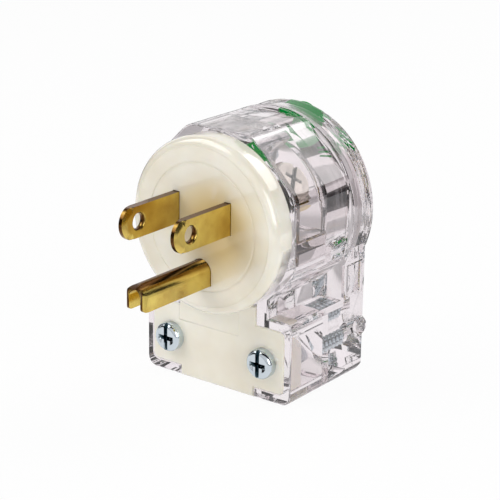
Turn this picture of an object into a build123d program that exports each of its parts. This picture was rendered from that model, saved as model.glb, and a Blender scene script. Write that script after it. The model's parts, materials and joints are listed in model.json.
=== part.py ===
from build123d import *
import os
from math import sqrt

# Three pin angle plug with a clear body. Millimetres, Z up, blades point along -Y.
# The origin is on the plug's face, midway between the two flat blades.

# Blade pattern of a 15 A 125 V plug
blade_spacing = 12.7
blade_width = 6.35
blade_thickness = 1.52
blade_reach = 16.6
blade_tip_length = 2.1
blade_tip_bevel = 0.35
blade_bevel_length = 1.4
blade_hole_radius = 1.6
blade_hole_inset = 4.7
blade_hole_rim = 0.35
pin_drop = 11.9
pin_width = 4.75
pin_leg = 2.7
pin_wall = 1.0
pin_reach = 19.9
pin_crown_round = 1.9
pin_leg_round = 0.8
pin_tip_bevel = 0.45
pin_bevel_length = 1.15

# Ivory face disc
axis_drop = 3.0
disc_radius = 18.0
disc_thickness = 5.2
disc_edge_round = 1.8
face_ring_radius = 12.9
face_ring_width = 0.35
face_ring_depth = 0.06
spigot_radius = 12.0
spigot_depth = 1.2
metal_clearance = 0.1

# Clear housing: an octagonal socket, a neck, a cord block and a flanged back
socket_apothem = 18.75
socket_edge_round = 5.0
wall = 2.3
pocket_depth = 11.8
flange_front = 23.2
flange_radius = 20.2
flange_waist = 0.75
flange_lip_round = 0.6
body_back = 31.5
back_edge_chamfer = 1.1
back_wall = 2.1
wiring_radius = 15.2
neck_half_width = 12.7
block_half_width = 18.3
block_top = -20.5
base_level = -38.0
block_wall = 1.5
block_floor = 1.9
block_corner_round = 2.2
block_shoulder_round = 1.3
flat_side_top = -10.0
back_chamfer = 2.8
front_edge_bevel = 0.4
grip_low = -20.3
grip_high = -13.5
grip_front = 24.6
grip_back = 29.9
grip_depth = 1.1
nub_radius = 2.0
nub_height = 0.9
nub_edge_bevel = 0.4
nub_level = -27.5
nub_inset = 2.6

# Ivory clamp plate and its two screws
fit_clearance = 0.12
plate_skin = 2.4
plate_depth = 4.7
plate_rim = 1.5
plate_neck_half_width = 9.8
plate_neck_rise = 3.6
plate_corner_round = 1.4
plate_edge_bevel = 0.3
tongue_half_width = 9.4
screw_offset = 11.7
screw_level = -29.9
screw_head_radius = 3.1
screw_head_height = 2.1
screw_head_round = 1.0
screw_core_radius = 1.5
screw_bore_clearance = 0.05
screw_length = 21.8
screw_end_room = 1.0
screw_boss_wall = 1.6
slot_width = 0.95
slot_depth = 0.8
cross_reach = 1.9
cross_depth = 1.5
cross_taper = 10.0

# Cord entry between the clamp plate and the saddle
cord_radius = 5.2
cord_centre = 17.0
cord_half_gap = 0.15
saddle_half_width = 8.0
saddle_height = 11.4
saddle_back_wall = 2.0
entry_length = 5.0
grip_groove_count = 3
grip_groove_depth = 0.6
grip_groove_width = 1.0
grip_groove_pitch = 2.0

# Clear terminal block that carries the metal behind the face
block_skin = 2.8
barrier_half_width = 4.6
chamber_floor = -4.2
chamber_roof_distance = 7.5
window_half_width = 7.2
window_top = -7.0
ground_half_width = 5.4
ground_roof = -7.2
block_bottom = -17.4
block_screw_offset = 2.6
block_screw_level = 8.6
block_screw_radius = 1.2
block_screw_head_radius = 2.1
block_screw_head_height = 1.4
block_screw_head_bevel = 0.4
block_screw_bite = 3.2

# Terminals, each with a tab, a pressure plate and a binding screw
tab_distance = 3.9
tab_thickness = 1.3
tab_half_width = 4.6
tab_half_length = 4.2
pressure_thickness = 1.0
pressure_half_width = 4.2
pressure_edge_bevel = 0.3
binding_head_radius = 3.95
binding_head_height = 2.1
binding_head_round = 0.8
binding_shank_radius = 1.75
binding_shank_length = 2.6
binding_centre = 12.2
binding_slot_turn = 40.0
foot_thickness = 1.0
foot_half_width = 3.6
foot_rise = 1.4
ground_strap_thickness = 1.0
ground_tab_level = -13.5
rivet_radius = 0.8
rivet_head_radius = 1.3
rivet_head_height = 0.5

# Worked out from the sizes above
axis_level = -axis_drop
body_front = disc_thickness
pocket_back = body_front + pocket_depth
pocket_apothem = socket_apothem - wall
module_apothem = pocket_apothem - fit_clearance
chamber_front = body_front + block_skin
block_back = pocket_back - fit_clearance
blade_offset = blade_spacing / 2
blade_hole_reach = blade_reach - blade_hole_inset
slot_half_thickness = blade_thickness / 2 + metal_clearance
slot_half_width = blade_width / 2 + metal_clearance
pin_radius = pin_width / 2
pin_slot_radius = pin_radius + metal_clearance
pin_slot_leg = pin_leg + metal_clearance
pin_bottom = -pin_drop - pin_leg
pin_top = -pin_drop + pin_radius
foot_bottom = -pin_drop - pin_radius
channel_half_width = saddle_half_width + fit_clearance
saddle_front = cord_centre + cord_half_gap
saddle_back = cord_centre + cord_radius + saddle_back_wall
channel_back = saddle_back + fit_clearance
saddle_top = base_level + saddle_height
cavity_half_width = block_half_width - block_wall
cavity_top = block_top - block_floor
cavity_bottom = base_level + block_floor
plate_back = body_front + plate_depth
screw_hole_radius = screw_core_radius + screw_bore_clearance
boss_radius = screw_hole_radius + screw_boss_wall
half_root = sqrt(0.5)
middle_axis = Axis((0, 0, axis_level), (0, 1, 0))

os.makedirs("parts", exist_ok=True)


def front_plane(y):
    """Plane at depth y, seen from the front. Its normal is -Y, so a negative extrude runs back."""
    return Plane.XZ.offset(-y)


def terminal_plane(side, distance):
    """Plane across a binding screw, whose axis leans 45 degrees out from the blade's middle."""
    reach = distance * half_root
    centre = (side * (blade_offset + reach), binding_centre, reach)
    return Plane(origin=centre, x_dir=(0, 1, 0), z_dir=(side, 0, 1))


def ground_plane(distance):
    """Plane across the ground screw, whose axis points down from the ground tab."""
    centre = (0, binding_centre, ground_tab_level - distance)
    return Plane(origin=centre, x_dir=(0, 1, 0), z_dir=(0, 0, -1))


def save(piece, label):
    """Names a finished piece and writes its file."""
    piece.label = label
    export_step(piece, f"parts/{label}.step")


# Ivory face disc
with BuildPart() as face_disc:
    with BuildSketch(front_plane(0)):
        with Locations((0, axis_level)):
            Circle(disc_radius)
    extrude(amount=-disc_thickness)
    fillet(face_disc.edges().group_by(Axis.Y)[0], disc_edge_round)
    with BuildSketch(front_plane(disc_thickness)):
        with Locations((0, axis_level)):
            Circle(spigot_radius)
    extrude(amount=-spigot_depth)
    with BuildSketch(front_plane(0)):
        with Locations((0, axis_level)):
            Circle(face_ring_radius + face_ring_width / 2)
            Circle(face_ring_radius - face_ring_width / 2, mode=Mode.SUBTRACT)
    extrude(amount=-face_ring_depth, mode=Mode.SUBTRACT)
    with BuildSketch(front_plane(0)):
        with Locations((-blade_offset, 0), (blade_offset, 0)):
            Rectangle(2 * slot_half_thickness, 2 * slot_half_width)
        with Locations((0, -pin_drop)):
            Circle(pin_slot_radius)
        with Locations((0, -pin_drop - pin_slot_leg / 2)):
            Rectangle(2 * pin_slot_radius, pin_slot_leg)
    extrude(amount=-(disc_thickness + spigot_depth), mode=Mode.SUBTRACT)
    with BuildSketch(front_plane(disc_thickness - block_screw_bite - fit_clearance)):
        with Locations((-block_screw_offset, block_screw_level), (block_screw_offset, block_screw_level)):
            Circle(block_screw_radius + screw_bore_clearance)
    extrude(amount=-(block_screw_bite + fit_clearance + spigot_depth), mode=Mode.SUBTRACT)
save(face_disc.part, "face_disc")

# Flat lower half of the housing's back, with a grip recess and a small boss on each side
with BuildPart() as housing_back:
    with BuildSketch(front_plane(flange_front)) as back_section:
        with Locations((0, (flat_side_top + base_level) / 2)):
            Rectangle(2 * block_half_width, flat_side_top - base_level)
        fillet(back_section.vertices().group_by(Axis.Y)[0], block_corner_round)
    extrude(amount=-(body_back - flange_front))
    chamfer(housing_back.edges().filter_by(Axis.Z).group_by(Axis.Y)[-1], back_edge_chamfer)
    with BuildSketch(Plane.YZ):
        Polygon(
            (body_back - back_chamfer, base_level),
            (body_back, base_level),
            (body_back, base_level + back_chamfer),
            align=None,
        )
    extrude(amount=block_half_width, both=True, mode=Mode.SUBTRACT)
    for side in (-1, 1):
        with BuildSketch(Plane.YZ.offset(side * block_half_width)):
            with Locations(((grip_front + grip_back) / 2, (grip_low + grip_high) / 2)):
                Rectangle(grip_back - grip_front, grip_high - grip_low)
        extrude(amount=-side * grip_depth, mode=Mode.SUBTRACT)
        with BuildSketch(Plane.YZ.offset(side * (block_half_width - grip_depth))):
            with Locations((body_back - nub_inset, nub_level)):
                Circle(nub_radius)
        extrude(amount=side * (grip_depth + nub_height))
    for group in (0, -1):
        chamfer(housing_back.edges().group_by(Axis.X)[group], nub_edge_bevel)

# Clear housing
with BuildPart() as housing:
    front_run = flange_front + flange_lip_round - body_front
    with BuildSketch(front_plane(body_front)) as socket_section:
        with Locations((0, axis_level)):
            RegularPolygon(socket_apothem, 8, major_radius=False, rotation=22.5)
        fillet(socket_section.vertices(), socket_edge_round)
    extrude(amount=-front_run)
    with BuildSketch(front_plane(body_front)) as block_section:
        with Locations((0, (block_top + base_level) / 2)):
            Rectangle(2 * block_half_width, block_top - base_level)
        fillet(block_section.vertices().group_by(Axis.Y)[0], block_corner_round)
        fillet(block_section.vertices().group_by(Axis.Y)[-1], block_shoulder_round)
    extrude(amount=-front_run)
    with BuildSketch(front_plane(body_front)):
        with Locations((0, (axis_level + cavity_top) / 2)):
            Rectangle(2 * neck_half_width, axis_level - cavity_top)
    extrude(amount=-front_run)
    chamfer(housing.edges().group_by(Axis.Y)[0], front_edge_bevel)

    # Round flange behind the socket, waisted so that fingers can pull on it
    with BuildSketch(Plane.YZ) as flange_section:
        with BuildLine():
            rim = axis_level + flange_radius
            middle = ((flange_front + body_back) / 2, rim - flange_waist)
            front_face = Line((flange_front, axis_level), (flange_front, rim))
            waist = ThreePointArc(front_face @ 1, middle, (body_back, rim))
            Polyline(waist @ 1, (body_back, axis_level), front_face @ 0)
        make_face()
        fillet(flange_section.vertices().group_by(Axis.Y)[-1].sort_by(Axis.X)[0], flange_lip_round)
        chamfer(flange_section.vertices().sort_by(Axis.Y)[-1], back_edge_chamfer)
    revolve(axis=middle_axis)
    add(housing_back.part)

    # Octagonal pocket for the terminal block, and the round wiring space behind it
    with BuildSketch(front_plane(body_front)) as pocket_section:
        with Locations((0, axis_level)):
            RegularPolygon(pocket_apothem, 8, major_radius=False, rotation=22.5)
        fillet(pocket_section.vertices(), socket_edge_round - wall)
    extrude(amount=-pocket_depth, mode=Mode.SUBTRACT)
    with BuildSketch(front_plane(pocket_back)):
        with Locations((0, axis_level)):
            Circle(wiring_radius)
    extrude(amount=-(body_back - back_wall - pocket_back), mode=Mode.SUBTRACT)

    # Room for the clamp plate: the block's cavity, the neck and the tongue
    with BuildSketch(front_plane(body_front)) as cavity_section:
        with Locations((0, (cavity_top + cavity_bottom) / 2)):
            Rectangle(2 * cavity_half_width, cavity_top - cavity_bottom)
        fillet(cavity_section.vertices(), plate_corner_round + fit_clearance)
    extrude(amount=-pocket_depth, mode=Mode.SUBTRACT)
    with BuildSketch(front_plane(body_front)):
        with Locations((0, (axis_level + cavity_bottom) / 2)):
            Rectangle(2 * (plate_neck_half_width + fit_clearance), axis_level - cavity_bottom)
        with Locations((0, (cavity_top + base_level) / 2)):
            Rectangle(2 * (tongue_half_width + fit_clearance), cavity_top - base_level)
    extrude(amount=-(plate_depth + fit_clearance), mode=Mode.SUBTRACT)

    # Cord channel, open at the base
    with BuildSketch(front_plane(body_front)):
        with Locations((0, (axis_level + base_level) / 2)):
            Rectangle(2 * channel_half_width, axis_level - base_level)
    extrude(amount=-(channel_back - body_front), mode=Mode.SUBTRACT)

    # Screw bosses and their holes
    with BuildSketch(front_plane(plate_back + fit_clearance)):
        with Locations((-screw_offset, screw_level), (screw_offset, screw_level)):
            Circle(boss_radius)
    extrude(amount=-(pocket_back - plate_back))
    with BuildSketch(front_plane(body_front)):
        with Locations((-screw_offset, screw_level), (screw_offset, screw_level)):
            Circle(screw_hole_radius)
    extrude(amount=-(screw_length + screw_end_room), mode=Mode.SUBTRACT)
save(housing.part, "housing")


def plate_outline(y, inset):
    """Outline of the clamp plate's body, neck and tongue at depth y, drawn in on every side."""
    left_over = 2 * (cavity_half_width - fit_clearance - inset)
    top = cavity_top - fit_clearance - inset
    bottom = cavity_bottom + fit_clearance + inset
    neck_top = cavity_top + plate_neck_rise - inset
    tongue_bottom = base_level + inset
    with BuildSketch(front_plane(y)) as outline:
        with Locations((0, (top + bottom) / 2)):
            Rectangle(left_over, top - bottom)
        fillet(outline.vertices(), plate_corner_round)
        with Locations((0, (neck_top + bottom) / 2)):
            Rectangle(2 * (plate_neck_half_width - inset), neck_top - bottom)
        with Locations((0, (top + tongue_bottom) / 2)):
            Rectangle(2 * (tongue_half_width - inset), top - tongue_bottom)
    return outline.sketch


# Ivory clamp plate: a skin with a rim behind it, a neck, a tongue and half of the cord entry
with BuildPart() as clamp_plate:
    extrude(plate_outline(body_front, 0), amount=-plate_depth)
    chamfer(clamp_plate.edges().group_by(Axis.Y)[0], plate_edge_bevel)
    hollow = plate_outline(body_front + plate_skin, plate_rim)
    extrude(hollow, amount=-plate_depth, mode=Mode.SUBTRACT)
    with BuildSketch(front_plane(body_front)):
        with Locations((-screw_offset, screw_level), (screw_offset, screw_level)):
            Circle(boss_radius)
    extrude(amount=-plate_depth)
    with BuildSketch(front_plane(body_front + plate_skin / 2)):
        with Locations((0, (base_level + saddle_top) / 2)):
            Rectangle(2 * saddle_half_width, saddle_height)
    extrude(amount=-(cord_centre - cord_half_gap - body_front - plate_skin / 2))
    with BuildSketch(Plane.XY.offset(base_level)):
        with Locations((0, cord_centre)):
            Circle(cord_radius)
    extrude(amount=saddle_height, mode=Mode.SUBTRACT)
    with BuildSketch(front_plane(body_front)):
        with Locations((-screw_offset, screw_level), (screw_offset, screw_level)):
            Circle(screw_hole_radius)
    extrude(amount=-plate_depth, mode=Mode.SUBTRACT)
save(clamp_plate.part, "clamp_plate")

# Clear cord saddle, the other half of the entry, with grooves that grip the cord
with BuildPart() as cord_saddle:
    with BuildSketch(Plane.XY.offset(base_level)):
        with Locations((0, (saddle_front + saddle_back) / 2)):
            Rectangle(2 * saddle_half_width, saddle_back - saddle_front)
        with Locations((0, cord_centre)):
            Circle(cord_radius, mode=Mode.SUBTRACT)
    extrude(amount=saddle_height)
    for groove in range(grip_groove_count):
        with BuildSketch(Plane.XY.offset(base_level + entry_length + groove * grip_groove_pitch)):
            with Locations((0, cord_centre)):
                Circle(cord_radius + grip_groove_depth)
        extrude(amount=grip_groove_width, mode=Mode.SUBTRACT)
save(cord_saddle.part, "cord_saddle")

# Clear terminal block: an octagonal carrier with a chamber for each terminal
with BuildPart() as terminal_block:
    chamber_run = block_back - chamber_front
    far = 2 * module_apothem
    with BuildSketch(front_plane(body_front)) as carrier_section:
        with Locations((0, axis_level)):
            RegularPolygon(module_apothem, 8, major_radius=False, rotation=22.5)
        fillet(carrier_section.vertices(), socket_edge_round - wall)
        with Locations((0, block_bottom - module_apothem)):
            Rectangle(2 * far, 2 * module_apothem, mode=Mode.SUBTRACT)
    extrude(amount=-(block_back - body_front))
    with BuildSketch(front_plane(body_front)):
        with Locations((0, axis_level)):
            Circle(spigot_radius + fit_clearance)
    extrude(amount=-(spigot_depth + fit_clearance), mode=Mode.SUBTRACT)

    # Line and neutral chambers, whose roofs lean out at 45 degrees
    roof = chamber_roof_distance / half_root - blade_offset
    for side in (-1, 1):
        with BuildSketch(front_plane(chamber_front)):
            Polygon(
                (side * barrier_half_width, chamber_floor),
                (side * far, chamber_floor),
                (side * far, roof + far),
                (side * barrier_half_width, roof + barrier_half_width),
                align=None,
            )
            Polygon(
                (side * window_half_width, window_top),
                (side * far, window_top),
                (side * far, -far),
                (side * window_half_width, -far),
                align=None,
            )
        extrude(amount=-chamber_run, mode=Mode.SUBTRACT)
    with BuildSketch(front_plane(chamber_front)):
        with Locations((0, (ground_roof - far) / 2)):
            Rectangle(2 * ground_half_width, ground_roof + far)
    extrude(amount=-chamber_run, mode=Mode.SUBTRACT)

    # Slots for the blades and the ground pin, and holes for the block's own screws
    with BuildSketch(front_plane(body_front)):
        with Locations((-blade_offset, 0), (blade_offset, 0)):
            Rectangle(2 * slot_half_thickness, 2 * slot_half_width)
        with Locations((0, -pin_drop)):
            Circle(pin_slot_radius)
        with Locations((0, -pin_drop - pin_slot_leg / 2)):
            Rectangle(2 * pin_slot_radius, pin_slot_leg)
    extrude(amount=-block_skin, mode=Mode.SUBTRACT)
    with BuildSketch(front_plane(body_front)):
        with Locations((-block_screw_offset, block_screw_level), (block_screw_offset, block_screw_level)):
            Circle(block_screw_radius + screw_bore_clearance)
    extrude(amount=-(block_back - body_front), mode=Mode.SUBTRACT)
save(terminal_block.part, "terminal_block")


def flat_blade(side):
    """Brass blade with a rounded, bevelled tip and a dished hole, folded over behind into a tab."""
    with BuildPart() as blade:
        near = side * blade_offset - blade_thickness / 2
        half = blade_width / 2
        shoulder = blade_tip_length - blade_reach
        with BuildSketch(Plane.YZ.offset(near)):
            with BuildLine():
                tip_arc = ThreePointArc((shoulder, half), (-blade_reach, 0), (shoulder, -half))
                Polyline(tip_arc @ 1, (chamber_front, -half), (chamber_front, half), tip_arc @ 0)
            make_face()
        extrude(amount=blade_thickness)
        for face in (blade.faces().sort_by(Axis.X)[0], blade.faces().sort_by(Axis.X)[-1]):
            tip = face.edges().filter_by(lambda edge: edge.center().Y < shoulder)
            chamfer(tip, blade_bevel_length, blade_tip_bevel, reference=face)
        with BuildSketch(Plane.YZ.offset(near)):
            with Locations((-blade_hole_reach, 0)):
                Circle(blade_hole_radius)
        extrude(amount=blade_thickness, mode=Mode.SUBTRACT)
        chamfer(blade.edges().filter_by(GeomType.CIRCLE).filter_by(lambda e: e.is_closed), blade_hole_rim)

        # The fold: an upright behind the blade and a tab leaning over it at 45 degrees
        tab_middle = tab_distance + tab_thickness / 2
        fold_top = tab_middle / half_root
        with BuildSketch(front_plane(chamber_front)):
            with Locations((side * blade_offset, (fold_top - blade_width / 2) / 2)):
                Rectangle(blade_thickness, fold_top + blade_width / 2)
            with Locations((side * blade_offset, fold_top)):
                Circle(blade_thickness / 2)
            tab_length = tab_middle + tab_half_width
            tab_x = side * (blade_offset + tab_length / 2 * half_root)
            tab_z = fold_top - tab_length / 2 * half_root
            with Locations((tab_x, tab_z)):
                Rectangle(tab_length, tab_thickness, rotation=-45 * side)
        extrude(amount=-(binding_centre + tab_half_length - chamber_front))
        with BuildSketch(terminal_plane(side, tab_distance)):
            Circle(binding_shank_radius + screw_bore_clearance)
        extrude(amount=2 * tab_thickness, both=True, mode=Mode.SUBTRACT)
    return blade.part


def pressure_plate(plane):
    """Square wire clamp that sits between a tab and the screw's head."""
    with BuildPart() as plate:
        with BuildSketch(plane):
            Rectangle(2 * tab_half_length, 2 * pressure_half_width)
            Circle(binding_shank_radius + screw_bore_clearance, mode=Mode.SUBTRACT)
        extrude(amount=pressure_thickness)
        outer_face = plate.faces().sort_by(Axis(plane.origin, plane.z_dir))[-1]
        chamfer(outer_face.outer_wire().edges(), pressure_edge_bevel)
    return plate.part


def combination_screw(seat, head_radius, head_height, head_round, shank_radius, shank_length, turn):
    """Domed screw with a slot across the head and a deeper cross in its middle."""
    with BuildPart() as screw:
        with BuildSketch(seat):
            Circle(head_radius)
        extrude(amount=head_height)
        top = seat.offset(head_height)
        rim = screw.faces().sort_by(Axis(seat.origin, seat.z_dir))[-1].edges()
        fillet(rim, head_round)
        with BuildSketch(seat):
            Circle(shank_radius)
        extrude(amount=-shank_length)
        with BuildSketch(top):
            Rectangle(2 * head_radius, slot_width, rotation=turn)
        extrude(amount=-slot_depth, mode=Mode.SUBTRACT)
        with BuildSketch(top):
            Rectangle(2 * cross_reach, slot_width, rotation=turn)
            Rectangle(slot_width, 2 * cross_reach, rotation=turn)
        extrude(amount=-cross_depth, taper=cross_taper, mode=Mode.SUBTRACT)
    return screw.part


def binding_screw(seat, turn):
    """Terminal screw whose head clamps a pressure plate."""
    return combination_screw(
        seat,
        binding_head_radius,
        binding_head_height,
        binding_head_round,
        binding_shank_radius,
        binding_shank_length,
        turn,
    )


# Line and neutral terminals
pressure_distance = tab_distance + tab_thickness
head_distance = pressure_distance + pressure_thickness
for name, side in (("line", -1), ("neutral", 1)):
    save(flat_blade(side), f"{name}_blade")
    save(pressure_plate(terminal_plane(side, pressure_distance)), f"{name}_pressure_plate")
    seat = terminal_plane(side, head_distance)
    save(binding_screw(seat, side * binding_slot_turn), f"{name}_terminal_screw")

# Ground pin: a U section with a foot behind the face
foot_back = chamber_front + foot_thickness
with BuildPart() as ground_pin:
    pin_length = pin_reach + chamber_front
    with BuildSketch(front_plane(-pin_reach)):
        with Locations((0, -pin_drop)):
            Circle(pin_radius)
        with Locations((0, -pin_drop - pin_leg / 2)):
            Rectangle(2 * pin_radius, pin_leg)
        with Locations((0, -pin_drop)):
            Circle(pin_radius - pin_wall, mode=Mode.SUBTRACT)
        with Locations((0, -pin_drop - pin_leg)):
            Rectangle(2 * (pin_radius - pin_wall), 2 * pin_leg, mode=Mode.SUBTRACT)
    extrude(amount=-pin_length)

    # The tip seen from the side, with a round crown, and from above, with bevelled legs
    with BuildSketch(Plane.YZ) as side_outline:
        with Locations((chamber_front - pin_length / 2, (pin_top + pin_bottom) / 2)):
            Rectangle(pin_length, pin_top - pin_bottom)
        fillet(side_outline.vertices().group_by(Axis.X)[0].sort_by(Axis.Y)[-1], pin_crown_round)
        fillet(side_outline.vertices().group_by(Axis.X)[0].sort_by(Axis.Y)[0], pin_leg_round)
    extrude(amount=pin_radius, both=True, mode=Mode.INTERSECT)
    with BuildSketch(Plane.XY.offset(pin_bottom)):
        Polygon(
            (-pin_radius, chamber_front),
            (-pin_radius, pin_bevel_length - pin_reach),
            (pin_tip_bevel - pin_radius, -pin_reach),
            (pin_radius - pin_tip_bevel, -pin_reach),
            (pin_radius, pin_bevel_length - pin_reach),
            (pin_radius, chamber_front),
            align=None,
        )
    extrude(amount=pin_top - pin_bottom, mode=Mode.INTERSECT)
    with BuildSketch(front_plane(chamber_front)):
        with Locations((0, (foot_bottom + pin_top + foot_rise) / 2)):
            Rectangle(2 * foot_half_width, pin_top + foot_rise - foot_bottom)
        with Locations((0, -pin_drop)):
            Circle(rivet_radius, mode=Mode.SUBTRACT)
    extrude(amount=-foot_thickness)
save(ground_pin.part, "ground_pin")

# Ground terminal: a strap riveted to the foot, bent back into a tab
strap_back = foot_back + ground_strap_thickness
with BuildPart() as ground_terminal:
    strap_bottom = ground_tab_level - ground_strap_thickness
    strap_top = pin_top + foot_rise
    with BuildSketch(front_plane(foot_back)):
        with Locations((0, (strap_bottom + strap_top) / 2)):
            Rectangle(2 * foot_half_width, strap_top - strap_bottom)
        with Locations((0, -pin_drop)):
            Circle(rivet_radius, mode=Mode.SUBTRACT)
    extrude(amount=-ground_strap_thickness)
    with BuildSketch(ground_plane(0)):
        with Locations(((foot_back - binding_centre + tab_half_length) / 2, 0)):
            Rectangle(binding_centre + tab_half_length - foot_back, 2 * tab_half_width)
        Circle(binding_shank_radius + screw_bore_clearance, mode=Mode.SUBTRACT)
    extrude(amount=ground_strap_thickness)
save(ground_terminal.part, "ground_terminal")
save(pressure_plate(ground_plane(ground_strap_thickness)), "ground_pressure_plate")
ground_seat = ground_plane(ground_strap_thickness + pressure_thickness)
save(binding_screw(ground_seat, binding_slot_turn), "ground_terminal_screw")

# Rivet through the foot and the strap
with BuildPart() as ground_rivet:
    with BuildSketch(front_plane(chamber_front)):
        with Locations((0, -pin_drop)):
            Circle(rivet_radius)
    extrude(amount=-(strap_back - chamber_front))
    for seat_depth, direction in ((chamber_front, 1), (strap_back, -1)):
        with BuildSketch(front_plane(seat_depth)):
            with Locations((0, -pin_drop)):
                Circle(rivet_head_radius)
        extrude(amount=direction * rivet_head_height)
save(ground_rivet.part, "ground_rivet")

# Slotted screws that hold the terminal block to the face disc, driven from behind
head_back = block_back + block_screw_head_height
for name, side in (("left", -1), ("right", 1)):
    with BuildPart() as block_screw:
        with BuildSketch(front_plane(block_back)):
            with Locations((side * block_screw_offset, block_screw_level)):
                Circle(block_screw_head_radius)
        extrude(amount=-block_screw_head_height)
        chamfer(block_screw.edges().group_by(Axis.Y)[-1], block_screw_head_bevel)
        with BuildSketch(front_plane(body_front - block_screw_bite)):
            with Locations((side * block_screw_offset, block_screw_level)):
                Circle(block_screw_radius)
        extrude(amount=-(block_back - body_front + block_screw_bite))
        with BuildSketch(front_plane(head_back)):
            with Locations((side * block_screw_offset, block_screw_level)):
                Rectangle(2 * block_screw_head_radius, slot_width)
        extrude(amount=slot_depth, mode=Mode.SUBTRACT)
    save(block_screw.part, f"block_screw_{name}")

# Screws that hold the clamp plate to the housing
for name, side in (("left", -1), ("right", 1)):
    centre = (side * screw_offset, body_front, screw_level)
    seat = Plane(origin=centre, x_dir=(0, 0, 1), z_dir=(0, -1, 0))
    piece = combination_screw(
        seat,
        screw_head_radius,
        screw_head_height,
        screw_head_round,
        screw_core_radius,
        screw_length,
        0,
    )
    save(piece, f"plate_screw_{name}")
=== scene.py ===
import json

import bmesh
import bpy
import numpy as np
from bpy.props import FloatProperty, FloatVectorProperty, PointerProperty
from mathutils import Matrix, Vector

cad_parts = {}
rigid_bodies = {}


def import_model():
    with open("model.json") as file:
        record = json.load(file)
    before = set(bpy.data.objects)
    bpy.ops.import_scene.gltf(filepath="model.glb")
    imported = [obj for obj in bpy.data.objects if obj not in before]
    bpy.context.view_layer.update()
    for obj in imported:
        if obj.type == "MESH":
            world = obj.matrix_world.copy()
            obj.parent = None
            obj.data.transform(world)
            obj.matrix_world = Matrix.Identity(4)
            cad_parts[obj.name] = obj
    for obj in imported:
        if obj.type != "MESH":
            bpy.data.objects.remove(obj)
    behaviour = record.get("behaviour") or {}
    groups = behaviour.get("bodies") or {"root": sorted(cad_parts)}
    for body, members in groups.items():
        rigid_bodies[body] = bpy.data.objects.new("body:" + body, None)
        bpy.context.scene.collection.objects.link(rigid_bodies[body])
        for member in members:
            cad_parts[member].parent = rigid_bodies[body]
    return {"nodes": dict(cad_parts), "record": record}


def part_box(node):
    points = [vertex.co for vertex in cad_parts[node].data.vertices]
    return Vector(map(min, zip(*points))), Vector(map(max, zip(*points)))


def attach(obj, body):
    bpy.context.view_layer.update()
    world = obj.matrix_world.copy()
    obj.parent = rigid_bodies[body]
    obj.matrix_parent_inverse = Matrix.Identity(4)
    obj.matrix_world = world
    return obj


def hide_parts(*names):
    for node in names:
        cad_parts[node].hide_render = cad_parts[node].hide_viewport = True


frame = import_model()
NODES = frame["nodes"]

bl_info = {
    "name": "Clear angle plug",
    "version": (1, 0, 0),
    "blender": (4, 5, 0),
    "location": "View3D > Sidebar > Plug",
    "description": "Dresses a three pin angle plug with a clear body and an ivory face",
    "category": "Object",
}

MM = 0.001
WHITE = (1.0, 1.0, 1.0, 1.0)

# Levels and reaches of the solids, in metres.
BASE_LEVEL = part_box("housing")[0].z
BACK_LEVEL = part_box("housing")[1].y
AXIS_LEVEL = (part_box("face_disc")[0].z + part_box("face_disc")[1].z) / 2
DISC_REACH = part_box("face_disc")[1].x
FLANGE_FRONT = BACK_LEVEL - 8.3 * MM

# Copies of the solids: what is merged, and the angles in degrees that count as flat and as a round.
MERGE_GAP = 2e-6
SLIVER_GAP = 1e-7
FLAT_ANGLE = 0.2
ROUND_ANGLE = 32
NEW_PIECE_ANGLE = 35

# The threads' mesh, and how far a thread ends before its screw's tip.
THREAD_FACETS = 48
THREAD_STEPS_PER_TURN = 16
THREAD_END_GAP = 0.2 * MM

# The print: half the film's thickness, the dot's corners, and the bars, each shorter than the one above.
FILM_HALF = 0.03 * MM
DOT_CORNERS = 64
BAR_COUNT = 3
BAR_SHRINK = 0.2
BAR_SPACING = 2.2

# Two fine lines cut round the flange, as (share of the way from its front to the back wall, height), and the
# levels between which they fade in above the cord block.
FLANGE_LINES = ((0.0, 1), (0.22, 1), (0.28, 0), (0.34, 1), (0.55, 1), (0.61, 0), (0.67, 1), (1.0, 1))
LINES_START, LINES_FULL = -17 * MM, -15 * MM

# Two fine rings on the face, the inner one cut and the outer one raised, as (share of its radius, height).
FACE_RINGS = (
    (0.0, 0.5), (0.69, 0.5), (0.715, 0), (0.74, 0.5), (0.89, 0.5), (0.905, 1), (0.92, 0.5), (1.0, 0.5),
)

# The faint ledge on the clamp plate, as (axis, place of an edge, side on which the ledge lies).
LEDGE_EDGES = (
    ("X", -9.8 * MM, 1),
    ("X", 5.4 * MM, -1),
    ("Z", -25.9 * MM, 1),
    ("Y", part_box("clamp_plate")[0].y - 0.3 * MM, 1),
)
LEDGE_BEVEL = 0.12 * MM

# Painted reflection and shade of the brass blades on the face: where its middle lies, and from what distance
# to what distance it fades.
BLADE_REFLECTION_PLACE = (3.5 * MM, 0.0, -3.0 * MM)
BLADE_REFLECTION_NEAR, BLADE_REFLECTION_FAR = 3 * MM, 13.5 * MM

# Painted shade: the colour to which each metal is darkened in its hollows.
BRASS_PAINTED_SHADE = "4A3014"
NICKEL_STRIP_PAINTED_SHADE = "3A3026"
NICKEL_SCREW_PAINTED_SHADE = "3A2A1C"
ZINC_PAINTED_SHADE = "1A4650"
GREEN_PAINTED_SHADE = "0A2A14"

# Softboxes, as (name, place in metres, width in metres, watts), and the point that they face.
LAMPS = (
    ("Key", (-0.35, -0.35, 0.45), 0.5, 2.15),
    ("Fill", (0.55, -0.25, 0.2), 0.4, 1.3),
    ("Rim", (0.15, 0.5, 0.45), 0.4, 1.4),
)
LAMP_AIM = (0.0, 0.012, -0.01)

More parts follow.
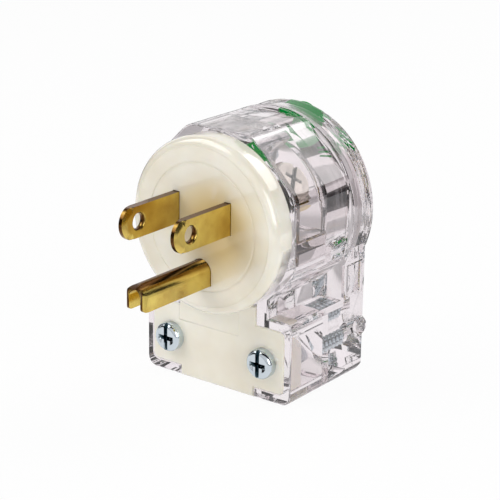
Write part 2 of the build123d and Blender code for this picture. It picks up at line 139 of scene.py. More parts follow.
# What the clear body and the gloss see round them: bands of light and dark, as (share of the way from the
# front to the back of the studio, level), and rings on the floor, as (distance in metres, level).
STUDIO_AXIS = (-0.5, 0.82, 0.28)
STUDIO_FRONT = (0.8, 0.78, 0.8, 1.0)
STUDIO_BANDS = (
    (0.25, 0.8), (0.32, 0.02), (0.58, 0.02), (0.59, 1.0), (0.65, 1.0),
    (0.66, 0.0), (0.75, 0.01), (0.84, 0.1), (0.85, 1.0),
)
FLOOR_MIDDLE = (0.97, 0.95, 0.97, 1.0)
FLOOR_RINGS = ((0.085, 0.95), (0.09, 0.5), (0.13, 0.6), (0.135, 1.0), (0.2, 0.95), (0.205, 0.15))
FLOOR_AWAY = (0.03, 0.03, 0.035, 1.0)
FLOOR_HALF = 3.0
FLOOR_GAP = 0.05 * MM

# Light on matt surfaces from all round, and how much of the floor is plain white to the eye. The rest of the
# floor keeps the plug's shadow.
SOFT_LIGHT = 0.4
FLOOR_WHITE = 0.93

# Clear walls lie one behind the other, so a ray may turn many times on its way.
BOUNCES = 24
CLEAR_BOUNCES = 32


def linear(colour):
    """Turns an sRGB hex string such as E8E2D2 into a linear colour with alpha 1."""
    parts = np.array([int(colour[i : i + 2], 16) / 255 for i in (0, 2, 4)])
    parts = np.where(parts <= 0.04045, parts / 12.92, ((parts + 0.055) / 1.055) ** 2.4)
    return (*parts.tolist(), 1.0)


def grey(level, green=1.0):
    """A grey of that level. Green below 1 turns it towards lilac."""
    return (level, level * green, level, 1.0)


def deeper(colour, share):
    """That share of a linear colour's light."""
    return tuple(part * share for part in colour)


def per_metre(size):
    """How many cells of a pattern fit in a metre, to a whole number, where one is that many mm wide."""
    return round(1 / (size * MM))


def add_node(tree, kind, links=(), stops=(), **settings):
    """Adds one node. A setting is one of its own properties or, with underscores for blanks, an input.
    links are (input, socket or constant) pairs, and stops are a ramp's (place, colour) pairs in order."""
    node = tree.nodes.new(kind)
    for name, value in settings.items():
        if hasattr(node, name):
            setattr(node, name, value)
        else:
            node.inputs[name.replace("_", " ")].default_value = value
    for name, source in links:
        if isinstance(source, bpy.types.NodeSocket):
            tree.links.new(source, node.inputs[name])
        else:
            node.inputs[name].default_value = source
    for number, (place, colour) in enumerate(stops):
        ramp = node.color_ramp.elements
        stop = ramp[number] if number < 2 else ramp.new(place)
        stop.position = place
        stop.color = colour
    return node


def new_material(name):
    """An empty node material, its tree and the socket of its Object coordinates."""
    material = bpy.data.materials.new(name)
    material.use_nodes = True
    tree = material.node_tree
    tree.nodes.clear()
    return material, tree, add_node(tree, "ShaderNodeTexCoord").outputs["Object"]


def close_material(tree, shader):
    """Joins a shader to the material's output."""
    add_node(tree, "ShaderNodeOutputMaterial", [("Surface", shader)])


def seen_in_plug(tree, path):
    """1 for a ray that clear plastic or gloss sends on, and otherwise 0."""
    either = [(0, path.outputs["Is Transmission Ray"]), (1, path.outputs["Is Glossy Ray"])]
    return add_node(tree, "ShaderNodeMath", either, operation="MAXIMUM").outputs[0]


def finish_piece(piece, material):
    """Gives a new piece its material and slot, and lets it ride on the plug's one body."""
    piece.data.materials.clear()
    piece.data.materials.append(material)
    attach(piece, "root")


def smooth_copy(node, name):
    """A copy of a CAD node. Its loose triangles are merged, and each flat face becomes one polygon, so that
    the shading stays flat there and bends only in the rounds."""
    mesh = NODES[node].data.copy()
    mesh.name = name
    shape = bmesh.new()
    shape.from_mesh(mesh)
    bmesh.ops.remove_doubles(shape, verts=shape.verts, dist=MERGE_GAP)
    bmesh.ops.dissolve_degenerate(shape, edges=shape.edges, dist=SLIVER_GAP)
    bmesh.ops.dissolve_limit(
        shape, angle_limit=np.radians(FLAT_ANGLE), verts=shape.verts, edges=shape.edges,
        use_dissolve_boundaries=False,
    )
    shape.to_mesh(mesh)
    shape.free()
    mesh.shade_smooth()
    mesh.set_sharp_from_angle(angle=np.radians(ROUND_ANGLE))
    piece = bpy.data.objects.new(name, mesh)
    bpy.context.scene.collection.objects.link(piece)
    weighted = piece.modifiers.new("Even faces", "WEIGHTED_NORMAL")
    weighted.keep_sharp = True
    return piece


def tube(name, rings):
    """A closed surface from an array of rings, each a row of points round it, with a polygon at each end."""
    count, around = rings.shape[:2]
    step = np.arange(around)
    after = (step + 1) % around
    starts = np.arange(count - 1)[:, None] * around
    beyond = starts + around
    quads = np.stack([starts + step, starts + after, beyond + after, beyond + step], axis=-1)
    faces = [*quads.reshape(-1, 4).tolist(), step[::-1].tolist(), ((count - 1) * around + step).tolist()]
    mesh = bpy.data.meshes.new(name)
    mesh.from_pydata(rings.reshape(-1, 3).tolist(), [], faces)
    mesh.shade_smooth()
    mesh.set_sharp_from_angle(angle=np.radians(NEW_PIECE_ANGLE))
    piece = bpy.data.objects.new(name, mesh)
    bpy.context.scene.collection.objects.link(piece)
    return piece


def thread(name, centre, start, stop, core, depth, pitch):
    """A screw's thread along Y: the radius is the core's plus a triangle wave of the depth above y / pitch
    and the angle round the axis, which climbs by one pitch in each turn."""
    angle = np.linspace(0, 2 * np.pi, THREAD_FACETS, endpoint=False)
    along = np.linspace(start, stop, int((stop - start) / pitch * THREAD_STEPS_PER_TURN))
    turn, y = np.meshgrid(angle, along)
    phase = np.mod(y / pitch - turn / (2 * np.pi), 1.0)
    radius = core + depth * (1 - np.abs(2 * phase - 1))
    rings = np.stack([centre[0] + radius * np.cos(turn), y, centre[1] - radius * np.sin(turn)], axis=-1)
    return tube(name, rings)


def film(name, outline, near, far):
    """A flat film: the outline's x and z points once at the near depth and once at the far one."""
    points = np.broadcast_to(outline, (2, *outline.shape))
    depth = np.broadcast_to(np.array([[near], [far]]), points.shape[:2])
    return tube(name, np.stack([points[..., 0], depth, points[..., 1]], axis=-1))


def clear_polycarbonate(colours):
    """Polycarbonate, injection moulded and polished. It is nearly colourless and bends light strongly (IOR
    1.58), so that what lies round the plug shows as streaks in it. Faint flow ripples about 7 mm wide make
    the streaks less even, and two fine lines round the flange split them. Shadow rays go straight through."""
    material, tree, place = new_material("Moulded clear polycarbonate")
    ripple = add_node(tree, "ShaderNodeTexNoise", [("Vector", place)], Scale=per_metre(7.14), Detail=0.0)
    calm = add_node(
        tree, "ShaderNodeBump", [("Height", ripple.outputs["Fac"])], Strength=0.01, Distance=0.6 * MM
    )
    parts = add_node(tree, "ShaderNodeSeparateXYZ", [("Vector", place)])
    across = add_node(
        tree, "ShaderNodeMapRange", [("Value", parts.outputs["Y"])],
        From_Min=FLANGE_FRONT, From_Max=BACK_LEVEL,
    )
    lines = add_node(
        tree, "ShaderNodeValToRGB", [("Fac", across.outputs["Result"])],
        [(share, grey(height)) for share, height in FLANGE_LINES],
    )
    above = add_node(
        tree, "ShaderNodeMapRange", [("Value", parts.outputs["Z"])],
        From_Min=LINES_START, From_Max=LINES_FULL, To_Max=0.4,
    )
    bump = add_node(
        tree, "ShaderNodeBump",
        [
            ("Height", lines.outputs["Color"]),
            ("Strength", above.outputs["Result"]),
            ("Normal", calm.outputs["Normal"]),
        ],
        Distance=0.15 * MM,
    )
    glass = add_node(
        tree, "ShaderNodeBsdfPrincipled", [("Normal", bump.outputs["Normal"])],
        Base_Color=(*colours.clear_tint, 1.0), Transmission_Weight=1.0, Roughness=0.0, IOR=1.58,
    )
    shadow = add_node(tree, "ShaderNodeBsdfTransparent", Color=(0.93, 0.93, 0.95, 1.0))
    path = add_node(tree, "ShaderNodeLightPath")
    mixed = add_node(
        tree, "ShaderNodeMixShader",
        [(0, path.outputs["Is Shadow Ray"]), (1, glass.outputs[0]), (2, shadow.outputs[0])],
    )
    close_material(tree, mixed.outputs[0])
    return material


def ivory_nylon(colours):
    """Nylon, injection moulded and glossy. Light goes a little way into it, so that it looks soft like ivory,
    with clouds of a deeper tone about 11 mm wide. Round the contacts the face is warmed by a painted
    reflection and shade of the brass blades. The face has two fine rings, and the plate has a faint ledge;
    the rings and the ledge are too slight to need geometry. The mould's real grain is too fine to show, so it
    is drawn 1.1 mm wide."""
    material, tree, place = new_material("Moulded ivory nylon")
    clouds = add_node(tree, "ShaderNodeTexNoise", [("Vector", place)], Scale=per_metre(11.1), Detail=3.0)
    tone = add_node(
        tree, "ShaderNodeValToRGB", [("Fac", clouds.outputs["Fac"])],
        [(0.3, (*colours.ivory_deep, 1.0)), (0.7, (*colours.ivory, 1.0))],
    )
    # Painted reflection and shade of the brass blades: the face turns warm round the contacts.
    from_blade_reflection = add_node(tree, "ShaderNodeVectorMath", [(0, place), (1, BLADE_REFLECTION_PLACE)], operation="DISTANCE")
    blade_reflection_share = add_node(
        tree, "ShaderNodeMapRange", [("Value", from_blade_reflection.outputs["Value"])],
        interpolation_type="SMOOTHSTEP", From_Min=BLADE_REFLECTION_NEAR, From_Max=BLADE_REFLECTION_FAR, To_Min=0.9, To_Max=0.0,
    )
    blade_reflected = add_node(
        tree, "ShaderNodeMix",
        [("Factor", blade_reflection_share.outputs["Result"]), (6, tone.outputs["Color"]), (7, (*colours.ivory_blade_reflection, 1.0))],
        data_type="RGBA",
    )

    centred = add_node(
        tree, "ShaderNodeVectorMath", [(0, place), (1, (0.0, 0.0, AXIS_LEVEL))], operation="SUBTRACT"
    )
    flat = add_node(
        tree, "ShaderNodeVectorMath", [(0, centred.outputs[0]), (1, (1.0, 0.0, 1.0))], operation="MULTIPLY"
    )
    radius = add_node(tree, "ShaderNodeVectorMath", [(0, flat.outputs[0])], operation="LENGTH")
    share = add_node(tree, "ShaderNodeMapRange", [("Value", radius.outputs["Value"])], From_Max=DISC_REACH)
    rings = add_node(
        tree, "ShaderNodeValToRGB", [("Fac", share.outputs["Result"])],
        [(place_on_face, grey(height)) for place_on_face, height in FACE_RINGS],
    )
    ringed = add_node(
        tree, "ShaderNodeBump", [("Height", rings.outputs["Color"])], Strength=1.0, Distance=0.12 * MM
    )

    parts = add_node(tree, "ShaderNodeSeparateXYZ", [("Vector", place)])
    ledge = 1.0
    for axis, edge, side in LEDGE_EDGES:
        step = add_node(
            tree, "ShaderNodeMapRange", [("Value", parts.outputs[axis])],
            From_Min=edge - side * LEDGE_BEVEL, From_Max=edge + side * LEDGE_BEVEL,
        )
        ledge = add_node(
            tree, "ShaderNodeMath", [(0, ledge), (1, step.outputs["Result"])], operation="MULTIPLY"
        ).outputs[0]
    stepped = add_node(
        tree, "ShaderNodeBump", [("Height", ledge), ("Normal", ringed.outputs["Normal"])],
        Strength=1.0, Distance=0.14 * MM,
    )
    grain = add_node(tree, "ShaderNodeTexNoise", [("Vector", place)], Scale=per_metre(1.111), Detail=2.0)
    bump = add_node(
        tree, "ShaderNodeBump", [("Height", grain.outputs["Fac"]), ("Normal", stepped.outputs["Normal"])],
        Strength=0.05, Distance=0.2 * MM,
    )
    surface = add_node(
        tree, "ShaderNodeBsdfPrincipled",
        [("Base Color", blade_reflected.outputs[2]), ("Normal", bump.outputs["Normal"])],
        Roughness=0.16, IOR=1.53, Coat_Weight=1.0, Coat_Roughness=0.02,
        Subsurface_Weight=0.25, Subsurface_Scale=3 * MM, Subsurface_Radius=(1.0, 0.8, 0.5),
    )
    close_material(tree, surface.outputs[0])
    return material


def drawn_metal(name, light, dark, roughness, shade_colour, painted_dark_reflection=None):
    """Rolled strip or drawn wire, stamped or turned, and then plated or left bare. It has a sheen with fine
    drawn lines along Y, and patches about 4 mm wide that are lighter and rougher. The real lines are too
    fine to show, so they are drawn 0.6 mm apart. Hollows such as a screw's cross are darkened to the shade
    colour by ambient occlusion: painted shade. Where a dark reflection colour is given, the faces that look
    up and the ends that look out of the plug are browned towards it: a painted reflection of the dark studio."""
    material, tree, place = new_material(name)
    patches = add_node(tree, "ShaderNodeTexNoise", [("Vector", place)], Scale=per_metre(3.85), Detail=4.0)
    tone = add_node(
        tree, "ShaderNodeValToRGB", [("Fac", patches.outputs["Fac"])],
        [(0.2, (*dark, 1.0)), (0.75, (*light, 1.0))],
    )
    spread = add_node(
        tree, "ShaderNodeMapRange", [("Value", patches.outputs["Fac"])],
        To_Min=roughness * 0.8, To_Max=roughness * 1.3,
    )
    drawn = (per_metre(0.5555), per_metre(16.7), per_metre(0.5555))
    stretched = add_node(tree, "ShaderNodeMapping", [("Vector", place)], Scale=drawn)
    lines = add_node(
        tree, "ShaderNodeTexNoise", [("Vector", stretched.outputs["Vector"])], Scale=1.0, Detail=3.0
    )
    bump = add_node(
        tree, "ShaderNodeBump", [("Height", lines.outputs["Fac"])], Strength=0.08, Distance=0.1 * MM
    )
    colour = tone.outputs["Color"]
    # Painted dark reflection: faces that look up and ends that look out of the plug are browned, standing in
    # for the dark studio that they reflect.
    if painted_dark_reflection:
        facing = add_node(tree, "ShaderNodeTexCoord").outputs["Normal"]
        parts = add_node(tree, "ShaderNodeSeparateXYZ", [("Vector", facing)])
        outward = add_node(tree, "ShaderNodeMath", [(0, parts.outputs["Y"]), (1, -1.0)], operation="MULTIPLY")
        most = add_node(
            tree, "ShaderNodeMath", [(0, parts.outputs["Z"]), (1, outward.outputs[0])], operation="MAXIMUM"
        )
        reflection_share = add_node(
            tree, "ShaderNodeMapRange", [("Value", most.outputs[0])],
            interpolation_type="SMOOTHSTEP", From_Min=0.3, From_Max=0.95, To_Max=0.95,
        )
        reflection_browned = add_node(
            tree, "ShaderNodeMix", [("Factor", reflection_share.outputs["Result"]), (6, colour), (7, (*painted_dark_reflection, 1.0))],
            data_type="RGBA",
        )
        colour = reflection_browned.outputs[2]
    # Painted shade: ambient occlusion darkens the piece's hollows, such as a screw's cross, towards the shade
    # colour.
    occlusion = add_node(tree, "ShaderNodeAmbientOcclusion", samples=8, only_local=True, Distance=1.8 * MM)
    depth = add_node(
        tree, "ShaderNodeMapRange", [("Value", occlusion.outputs["AO"])],
        From_Min=0.35, From_Max=0.92, To_Min=1.0, To_Max=0.0,
    )
    shaded = add_node(
        tree, "ShaderNodeMix", [("Factor", depth.outputs["Result"]), (6, colour), (7, shade_colour)],
        data_type="RGBA",
    )
    surface = add_node(
        tree, "ShaderNodeBsdfPrincipled",
        [
            ("Base Color", shaded.outputs[2]),
            ("Roughness", spread.outputs["Result"]),
            ("Normal", bump.outputs["Normal"]),
        ],
        Metallic=1.0,
    )
    close_material(tree, surface.outputs[0])
    return material


def printed_ink(colours):
    """Pad printed ink in touch with the plastic: flat and without gloss, uneven in patches of 1.4 mm."""
    material, tree, place = new_material("Pad printed green ink")
    wear = add_node(tree, "ShaderNodeTexNoise", [("Vector", place)], Scale=per_metre(1.429), Detail=3.0)
    tone = add_node(
        tree, "ShaderNodeValToRGB", [("Fac", wear.outputs["Fac"])],
        [(0.0, (*deeper(colours.ink, 0.8), 1.0)), (1.0, (*colours.ink, 1.0))],
    )
    surface = add_node(
        tree, "ShaderNodeBsdfPrincipled", [("Base Color", tone.outputs["Color"])],
        Roughness=0.5, Specular_IOR_Level=0.0,
    )
    close_material(tree, surface.outputs[0])
    return material


class AnglePlugSizes(bpy.types.PropertyGroup):
    """Sizes of what the scene adds to the solids."""

    thread_pitch: FloatProperty(
        name="Thread pitch", description="Pitch of the plate screws' thread",
        default=1.27 * MM, unit="LENGTH",
    )
    thread_depth: FloatProperty(
        name="Thread depth", description="How far the thread stands out of the screws' shank",
        default=0.35 * MM, unit="LENGTH",
    )
    thread_core: FloatProperty(
        name="Thread core", description="Radius at the bottom of the thread",
        default=1.51 * MM, unit="LENGTH",
    )
    thread_length: FloatProperty(
        name="Thread length", description="Threaded end of the plate screws",
        default=15.5 * MM, unit="LENGTH",
    )
    dot_radius: FloatProperty(
        name="Dot radius", description="Radius of the printed dot",
        default=4.2 * MM, unit="LENGTH",
    )
    dot_place: FloatVectorProperty(
        name="Dot place", description="Middle of the printed dot on the back wall, as x and z",
        default=(1.6 * MM, 12.4 * MM), size=2, unit="LENGTH",
    )
    bar_length: FloatProperty(
        name="Bar length", description="Length of the longest printed bar",
        default=5.5 * MM, unit="LENGTH",
    )
    bar_height: FloatProperty(
        name="Bar height", description="Height of a printed bar",
        default=0.55 * MM, unit="LENGTH",
    )
    bar_place: FloatVectorProperty(
        name="Bar place", description="Middle of the first printed bar, as x and z",
        default=(7.0 * MM, 7.2 * MM), size=2, unit="LENGTH",
    )


class AnglePlugColours(bpy.types.PropertyGroup):
    """Colours of the plug's materials."""

    clear_tint: FloatVectorProperty(
        name="Clear tint", description="Tint of the clear body",
        default=linear("EFEAEB")[:3], subtype="COLOR", min=0, max=1,
    )
    ivory: FloatVectorProperty(
        name="Ivory", description="Light tone of the face and the plate",
        default=linear("F8F4E8")[:3], subtype="COLOR", min=0, max=1,
    )
    ivory_deep: FloatVectorProperty(
        name="Deep ivory", description="Deeper tone of the face and the plate",
        default=linear("EBE4D2")[:3], subtype="COLOR", min=0, max=1,
    )
    # Painted reflection and shade of the brass blades, laid on the face round the contacts.
    ivory_blade_reflection: FloatVectorProperty(
        name="Painted blade reflection", description="Yellowed tone round the contacts",
        default=linear("D4B97C")[:3], subtype="COLOR", min=0, max=1,
    )
    brass: FloatVectorProperty(
        name="Brass", description="Light tone of the brass",
        default=linear("EFD874")[:3], subtype="COLOR", min=0, max=1,
    )
    brass_deep: FloatVectorProperty(
        name="Deep brass", description="Deeper tone of the brass",
        default=linear("BE9C4E")[:3], subtype="COLOR", min=0, max=1,
    )
    # Painted dark reflection, laid in brown on the brass faces that look up and the ends that look out.
    painted_dark_reflection: FloatVectorProperty(
        name="Painted dark reflection", description="Brown skin on the brass",
        default=linear("5A3216")[:3], subtype="COLOR", min=0, max=1,
    )
    zinc: FloatVectorProperty(
        name="Zinc", description="Plating of the plate screws and the block screws",
        default=linear("CFDADF")[:3], subtype="COLOR", min=0, max=1,
    )
    nickel: FloatVectorProperty(
        name="Nickel", description="Plating of the neutral terminal's screw and plate",
        default=linear("F6EEE2")[:3], subtype="COLOR", min=0, max=1,
    )
    green: FloatVectorProperty(
        name="Green", description="Dyed plating of the ground screw",
        default=linear("3E8A4E")[:3], subtype="COLOR", min=0, max=1,
    )
    ink: FloatVectorProperty(
        name="Ink", description="Print on the back wall",
        default=linear("00A040")[:3], subtype="COLOR", min=0, max=1,
    )


class AnglePlugView(bpy.types.PropertyGroup):
    """The camera's place, found from the blades' standard pattern in the photograph."""

    azimuth: FloatProperty(
        name="Azimuth", description="Turn of the camera round the plug",
        default=np.radians(36.824), subtype="ANGLE",
    )
    elevation: FloatProperty(
        name="Elevation", description="Height of the camera above the horizon",
        default=np.radians(18.547), subtype="ANGLE",
    )
    roll: FloatProperty(
        name="Roll", description="Lean of the camera",
        default=np.radians(0.861), subtype="ANGLE",
    )
    distance: FloatProperty(
        name="Distance", description="From the camera to its target",
        default=320.92 * MM, unit="LENGTH",
    )
    lens: FloatProperty(
        name="Lens", description="Focal length on a 36 mm sensor",
        default=121.2, min=1,
    )
    target: FloatVectorProperty(
        name="Target", description="Point that the camera looks at",
        default=(11.883 * MM, 0.0, -5.076 * MM), subtype="TRANSLATION", unit="LENGTH",
    )


class PLUG_OT_stage(bpy.types.Operator):
    """Makes the camera, the lamps, the world and the pale floor."""

    bl_idname = "plug.stage"
    bl_label = "Stage"

    def execute(self, context):
        scene = context.scene
        scene.view_settings.view_transform = "Standard"
        scene.cycles.max_bounces = BOUNCES
        scene.cycles.transmission_bounces = BOUNCES
        scene.cycles.glossy_bounces = BOUNCES
        scene.cycles.transparent_max_bounces = CLEAR_BOUNCES
        self.add_camera(scene)
        self.add_world(scene)
        self.add_floor(scene)
        for lamp in LAMPS:
            self.add_lamp(scene, *lamp)
        return {"FINISHED"}

    def add_camera(self, scene):
        """The camera stands back from its target by the distance, along the azimuth and the elevation, and
        then leans by the roll."""
        view = scene.angle_plug_view
        turn, rise, roll = view.azimuth, view.elevation, view.roll
        back = Vector((np.sin(turn) * np.cos(rise), -np.cos(turn) * np.cos(rise), np.sin(rise)))
        right = (-back).cross(Vector((0, 0, 1))).normalized()
        up = right.cross(-back)
        right, up = right * np.cos(roll) + up * np.sin(roll), up * np.cos(roll) - right * np.sin(roll)
        data = bpy.data.cameras.new("Camera")
        data.lens = view.lens
        data.sensor_width = 36
        data.clip_start = 10 * MM
        camera = bpy.data.objects.new("Camera", data)
        scene.collection.objects.link(camera)
        turned = Matrix((right, up, back)).transposed().to_4x4()
        camera.matrix_world = Matrix.Translation(Vector(view.target) + back * view.distance) @ turned
        scene.camera = camera

    def add_world(self, scene):
        """White to the eye, soft light on matt surfaces, and the studio's bands for clear plastic and gloss,
        by the ray's direction along the studio's axis."""
        world = bpy.data.worlds.new("Studio")
        scene.world = world
        world.use_nodes = True
        tree = world.node_tree
        tree.nodes.clear()
        direction = add_node(tree, "ShaderNodeTexCoord").outputs["Generated"]
        towards = add_node(
            tree, "ShaderNodeVectorMath", [(0, direction), (1, STUDIO_AXIS)], operation="DOT_PRODUCT"
        )
        share = add_node(tree, "ShaderNodeMapRange", [("Value", towards.outputs["Value"])], From_Min=-1.0)
        bands = [(edge, grey(level, 0.97)) for edge, level in STUDIO_BANDS]
        studio = add_node(
            tree, "ShaderNodeValToRGB", [("Fac", share.outputs["Result"])],
            [(0.0, STUDIO_FRONT), *bands, (1.0, WHITE)],
        )
        around = add_node(tree, "ShaderNodeBackground", [("Color", studio.outputs["Color"])])
        white = add_node(tree, "ShaderNodeBackground", Color=WHITE)
        soft = add_node(tree, "ShaderNodeBackground", Color=WHITE, Strength=SOFT_LIGHT)
        path = add_node(tree, "ShaderNodeLightPath")
        inner = add_node(
            tree, "ShaderNodeMixShader",
            [(0, seen_in_plug(tree, path)), (1, soft.outputs[0]), (2, around.outputs[0])],
        )
        mixed = add_node(
            tree, "ShaderNodeMixShader",
            [(0, path.outputs["Is Camera Ray"]), (1, inner.outputs[0]), (2, white.outputs[0])],
        )
        add_node(tree, "ShaderNodeOutputWorld", [("Surface", mixed.outputs[0])])

    def add_floor(self, scene):
        """A matt white board under the plug, nearly white to the eye, so that it keeps a soft shadow. Clear
        plastic and gloss see rings of light and dark on it."""
        half, level = FLOOR_HALF, BASE_LEVEL - FLOOR_GAP
        corners = [(-half, -half, level), (half, -half, level), (half, half, level), (-half, half, level)]
        mesh = bpy.data.meshes.new("Floor")
        mesh.from_pydata(corners, [], [(0, 1, 2, 3)])
        floor = bpy.data.objects.new("Floor", mesh)
        scene.collection.objects.link(floor)
        material, tree, place = new_material("Matt white board")
        fibre = add_node(tree, "ShaderNodeTexNoise", [("Vector", place)], Scale=per_metre(2.5))
        bump = add_node(
            tree, "ShaderNodeBump", [("Height", fibre.outputs["Fac"])], Strength=0.02, Distance=1 * MM
        )
        matt = add_node(tree, "ShaderNodeBsdfDiffuse", [("Normal", bump.outputs["Normal"])], Color=grey(0.95))
        white = add_node(tree, "ShaderNodeEmission", Color=WHITE)
        away = add_node(tree, "ShaderNodeVectorMath", [(0, place)], operation="LENGTH")
        rings = [(edge, grey(level, 0.98)) for edge, level in FLOOR_RINGS]
        pool = add_node(
            tree, "ShaderNodeValToRGB", [("Fac", away.outputs["Value"])],
            [(0.05, FLOOR_MIDDLE), *rings, (0.3, FLOOR_AWAY)],
        )
        lit = add_node(tree, "ShaderNodeEmission", [("Color", pool.outputs["Color"])])
        path = add_node(tree, "ShaderNodeLightPath")
        inner = add_node(
            tree, "ShaderNodeMixShader",
            [(0, seen_in_plug(tree, path)), (1, matt.outputs[0]), (2, lit.outputs[0])],
        )
        share = add_node(
            tree, "ShaderNodeMath", [(0, path.outputs["Is Camera Ray"]), (1, FLOOR_WHITE)],
            operation="MULTIPLY",
        )
        mixed = add_node(
            tree, "ShaderNodeMixShader", [(0, share.outputs[0]), (1, inner.outputs[0]), (2, white.outputs[0])]
        )
        close_material(tree, mixed.outputs[0])
        mesh.materials.append(material)

    def add_lamp(self, scene, name, place, size, power):
        """A square softbox that faces the plug and isn't seen through the clear plastic."""
        data = bpy.data.lights.new(name, "AREA")
        data.size = size
        data.energy = power
        lamp = bpy.data.objects.new(name, data)
        scene.collection.objects.link(lamp)
        lamp.location = place
        lamp.visible_transmission = False
        aim = Vector(LAMP_AIM) - Vector(place)
        lamp.rotation_euler = aim.to_track_quat("-Z", "Y").to_euler()


class PLUG_OT_clear_parts(bpy.types.Operator):
    """Makes the clear housing, the terminal block and the cord saddle."""

    bl_idname = "plug.clear_parts"
    bl_label = "Clear parts"

    def execute(self, context):
        material = clear_polycarbonate(context.scene.angle_plug_colours)
        for node in ("housing", "terminal_block", "cord_saddle"):
            piece = smooth_copy(node, f"clear_{node}")
            finish_piece(piece, material)
            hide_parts(node)
        return {"FINISHED"}


class PLUG_OT_ivory_parts(bpy.types.Operator):
    """Makes the ivory face and the clamp plate."""

    bl_idname = "plug.ivory_parts"
    bl_label = "Ivory parts"

    def execute(self, context):
        material = ivory_nylon(context.scene.angle_plug_colours)
        for node in ("face_disc", "clamp_plate"):
            piece = smooth_copy(node, f"ivory_{node}")
            finish_piece(piece, material)
            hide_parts(node)
        return {"FINISHED"}


class PLUG_OT_contacts(bpy.types.Operator):
    """Makes the blades, the ground pin and the brass and nickel plated strips behind the face."""

    bl_idname = "plug.contacts"
    bl_label = "Contacts"

    def execute(self, context):
        colours = context.scene.angle_plug_colours
        # The metals get painted shade in their hollows, and the brass also a painted dark reflection on faces
        # that look up and ends that look out.
        brass = drawn_metal(
            "Stamped brass", tuple(colours.brass), tuple(colours.brass_deep), 0.2,
            linear(BRASS_PAINTED_SHADE), tuple(colours.painted_dark_reflection),
        )
        nickel = drawn_metal(
            "Nickel plated strip", tuple(colours.nickel), deeper(colours.nickel, 0.8), 0.24,
            linear(NICKEL_STRIP_PAINTED_SHADE),
        )
        for node in (
            "line_blade", "neutral_blade", "ground_pin", "ground_terminal",
            "ground_rivet", "line_pressure_plate", "ground_pressure_plate",
        ):
            piece = smooth_copy(node, f"brass_{node}")
            finish_piece(piece, brass)
            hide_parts(node)
        piece = smooth_copy("neutral_pressure_plate", "nickel_neutral_pressure_plate")
        finish_piece(piece, nickel)
        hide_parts("neutral_pressure_plate")
        return {"FINISHED"}


class PLUG_OT_screws(bpy.types.Operator):
    """Makes the plate screws, the terminal screws and the block screws."""

    bl_idname = "plug.screws"
    bl_label = "Screws"

    def execute(self, context):
        colours = context.scene.angle_plug_colours
        # Each plating is darkened in its hollows: painted shade.
        plated = {
            "zinc_screw": drawn_metal(
                "Bright zinc plate", tuple(colours.zinc), deeper(colours.zinc, 0.9), 0.04, linear(ZINC_PAINTED_SHADE)
            ),
            "nickel_screw": drawn_metal(
                "Nickel plate", tuple(colours.nickel), deeper(colours.nickel, 0.92), 0.42,
                linear(NICKEL_SCREW_PAINTED_SHADE),
            ),
            "brass_screw": drawn_metal(
                "Turned brass", tuple(colours.brass), tuple(colours.brass_deep), 0.2, linear(BRASS_PAINTED_SHADE)
            ),
            "green_screw": drawn_metal(
                "Green dyed zinc plate", tuple(colours.green), deeper(colours.green, 0.7), 0.25,
                linear(GREEN_PAINTED_SHADE),
            ),
        }
        for entry in frame["record"]["subparts"]:
            if entry["material_slot"] in plated:
                node = entry["node"]
                piece = smooth_copy(node, f"plated_{node}")
                finish_piece(piece, plated[entry["material_slot"]])
                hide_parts(node)
        return {"FINISHED"}


class PLUG_OT_threads(bpy.types.Operator):
    """Winds a thread round the part of each plate screw that bites into the clear body."""

    bl_idname = "plug.threads"
    bl_label = "Threads"

    def execute(self, context):
        sizes = context.scene.angle_plug_sizes
        metal = bpy.data.materials.get("Bright zinc plate")
        if metal is None:
            raise RuntimeError("The threads take their metal from the screws, which come first")
        for side in ("left", "right"):
            low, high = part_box(f"plate_screw_{side}")
            centre = ((low.x + high.x) / 2, (low.z + high.z) / 2)
            stop = high.y - THREAD_END_GAP
            piece = thread(
                f"thread_{side}", centre, stop - sizes.thread_length, stop,
                sizes.thread_core, sizes.thread_depth, sizes.thread_pitch,
            )
            finish_piece(piece, metal)
        return {"FINISHED"}


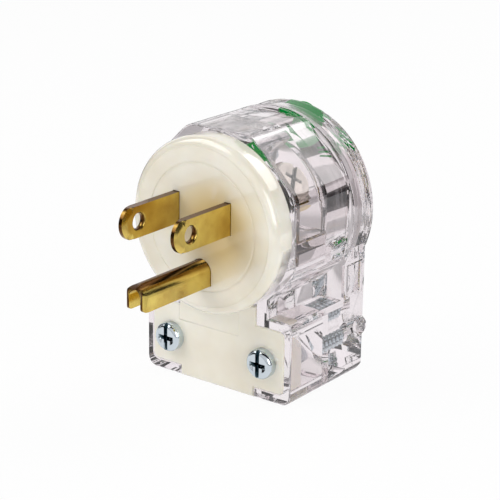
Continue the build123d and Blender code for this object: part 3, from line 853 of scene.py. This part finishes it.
class PLUG_OT_print(bpy.types.Operator):
    """Prints a plain green dot and plain bars on the back wall. The ink reaches a little way into the
    plastic, so that it shows from inside as ink in contact does."""

    bl_idname = "plug.print"
    bl_label = "Green print"

    def execute(self, context):
        sizes = context.scene.angle_plug_sizes
        ink = printed_ink(context.scene.angle_plug_colours)
        near, far = BACK_LEVEL - FILM_HALF, BACK_LEVEL + FILM_HALF
        turn = np.linspace(0, 2 * np.pi, DOT_CORNERS, endpoint=False)
        dot = np.stack([np.cos(turn), -np.sin(turn)], axis=-1) * sizes.dot_radius
        finish_piece(film("print_dot", dot + sizes.dot_place, near, far), ink)
        corner = np.array([(-0.5, 0.5), (0.5, 0.5), (0.5, -0.5), (-0.5, -0.5)])
        for number in range(BAR_COUNT):
            size = np.array([sizes.bar_length * (1 - BAR_SHRINK * number), sizes.bar_height])
            place = np.array(sizes.bar_place) - (0, number * BAR_SPACING * sizes.bar_height)
            bar = film(f"print_bar_{number + 1}", corner * size + place, near, far)
            finish_piece(bar, ink)
        return {"FINISHED"}


class PLUG_PT_panel(bpy.types.Panel):
    """Lists the plug's operators in the order in which they run."""

    bl_idname = "PLUG_PT_panel"
    bl_label = "Angle plug"
    bl_space_type = "VIEW_3D"
    bl_region_type = "UI"
    bl_category = "Plug"

    def draw(self, context):
        for operator in OPERATORS:
            self.layout.operator(operator.bl_idname)


OPERATORS = (
    PLUG_OT_stage,
    PLUG_OT_clear_parts,
    PLUG_OT_ivory_parts,
    PLUG_OT_contacts,
    PLUG_OT_screws,
    PLUG_OT_threads,
    PLUG_OT_print,
)
CLASSES = (AnglePlugSizes, AnglePlugColours, AnglePlugView, *OPERATORS, PLUG_PT_panel)


def register():
    for kind in CLASSES:
        bpy.utils.register_class(kind)
    bpy.types.Scene.angle_plug_sizes = PointerProperty(type=AnglePlugSizes)
    bpy.types.Scene.angle_plug_colours = PointerProperty(type=AnglePlugColours)
    bpy.types.Scene.angle_plug_view = PointerProperty(type=AnglePlugView)


def unregister():
    del bpy.types.Scene.angle_plug_view
    del bpy.types.Scene.angle_plug_colours
    del bpy.types.Scene.angle_plug_sizes
    for kind in reversed(CLASSES):
        bpy.utils.unregister_class(kind)


def main():
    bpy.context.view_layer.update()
    for thing in list(bpy.data.objects):
        if thing.type in {"LIGHT", "CAMERA"}:
            bpy.data.objects.remove(thing)
    register()
    bpy.ops.plug.stage()
    bpy.ops.plug.clear_parts()
    bpy.ops.plug.ivory_parts()
    bpy.ops.plug.contacts()
    bpy.ops.plug.screws()
    bpy.ops.plug.threads()
    bpy.ops.plug.print()


if __name__ == "__main__":
    main()
